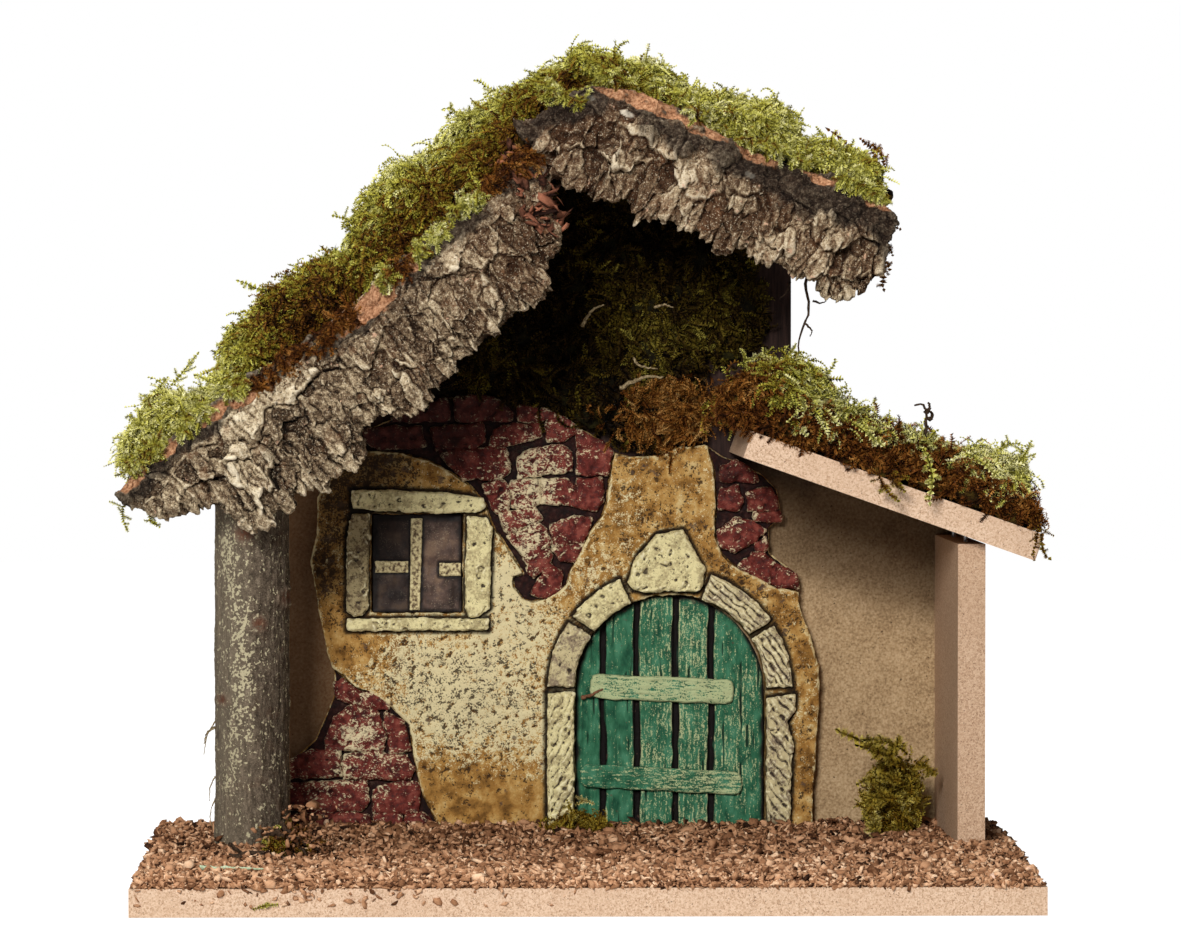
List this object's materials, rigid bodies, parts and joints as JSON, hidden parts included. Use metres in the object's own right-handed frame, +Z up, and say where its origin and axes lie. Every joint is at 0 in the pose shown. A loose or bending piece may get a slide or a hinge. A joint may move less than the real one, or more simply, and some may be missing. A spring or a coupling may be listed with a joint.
{
  "type": "nativity stable",
  "caption": "Crib stable with a cork bark gable roof, a mossy lean-to, a bark post and a cast facade with an arched door and a window.",
  "frame": {"origin": "middle of the footprint on the base's underside", "axes": "+X to the right seen from the front, +Y to the back, +Z up"},
  "size_m": [0.3442, 0.18, 0.3097],
  "materials": {
    "particle_board": "raw particle board, sawn edges",
    "stained_board": "raw board, stained dark in the gable",
    "bark_log": "thin grey-brown bark with pale lichen",
    "cork_bark": "deeply fissured cork bark",
    "green_moss": "dried feathery moss, green over rust brown",
    "dark_moss": "dried moss, dark olive",
    "dried_moss": "dried brown moss and twigs",
    "cork_crumb": "crushed cork granules, glued",
    "painted_stucco": "hand-painted ochre with cream and dark dry-brushing",
    "painted_brick": "hand-painted dark red with cream dry-brushing",
    "painted_stone": "hand-painted cream with a dark wash",
    "painted_pane": "hand-painted dull purple brown",
    "green_paint": "hand-painted green with pale dry-brushing",
    "pale_green_paint": "hand-painted cream over green",
    "zinc_steel": "bright zinc"
  },
  "bodies": {
    "root": {"base_board": "particle_board", "right_side_wall": "particle_board", "left_roof_board": "particle_board", "right_roof_board": "particle_board", "lean_to_roof_board": "particle_board", "back_panel": "stained_board", "left_post": "bark_log", "left_cork_fascia": "cork_bark", "right_cork_fascia": "cork_bark", "left_roof_moss": "green_moss", "right_roof_moss": "green_moss", "ridge_moss": "green_moss", "lean_to_moss": "green_moss", "gable_moss": "dark_moss", "corner_moss_bush": "dark_moss", "door_moss_tuft": "dark_moss", "post_foot_moss": "dried_moss", "cork_litter": "cork_crumb", "facade_panel": "painted_stucco", "upper_bricks": "painted_brick", "lower_bricks": "painted_brick", "side_bricks": "painted_brick", "arch_stone_right_lower": "painted_stone", "arch_stone_right_upper": "painted_stone", "arch_stone_left_upper": "painted_stone", "arch_stone_left_lower": "painted_stone", "keystone": "painted_stone", "arch_pier_left": "painted_stone", "arch_pier_right": "painted_stone", "window_lintel": "painted_stone", "window_jamb_left": "painted_stone", "window_jamb_right": "painted_stone", "window_sill": "painted_stone", "glazing_bar_upright": "painted_stone", "glazing_bar_left": "painted_stone", "glazing_bar_stub": "painted_stone", "window_panes": "painted_pane", "door_leaf": "green_paint", "door_batten_upper": "pale_green_paint", "door_batten_lower": "pale_green_paint", "base_pin_left": "zinc_steel", "base_pin_middle": "zinc_steel", "base_pin_right": "zinc_steel", "wall_pin_lower": "zinc_steel", "wall_pin_upper": "zinc_steel", "left_roof_pin_lower": "zinc_steel", "left_roof_pin_upper": "zinc_steel", "right_roof_pin_upper": "zinc_steel", "right_roof_pin_lower": "zinc_steel", "lean_to_pin_upper": "zinc_steel", "lean_to_pin_lower": "zinc_steel", "lean_to_wall_pin_1": "zinc_steel", "lean_to_wall_pin_2": "zinc_steel", "post_top_pin": "zinc_steel", "wall_screw_1": "zinc_steel", "wall_screw_2": "zinc_steel", "post_screw": "zinc_steel"}
  },
  "joints": []
}
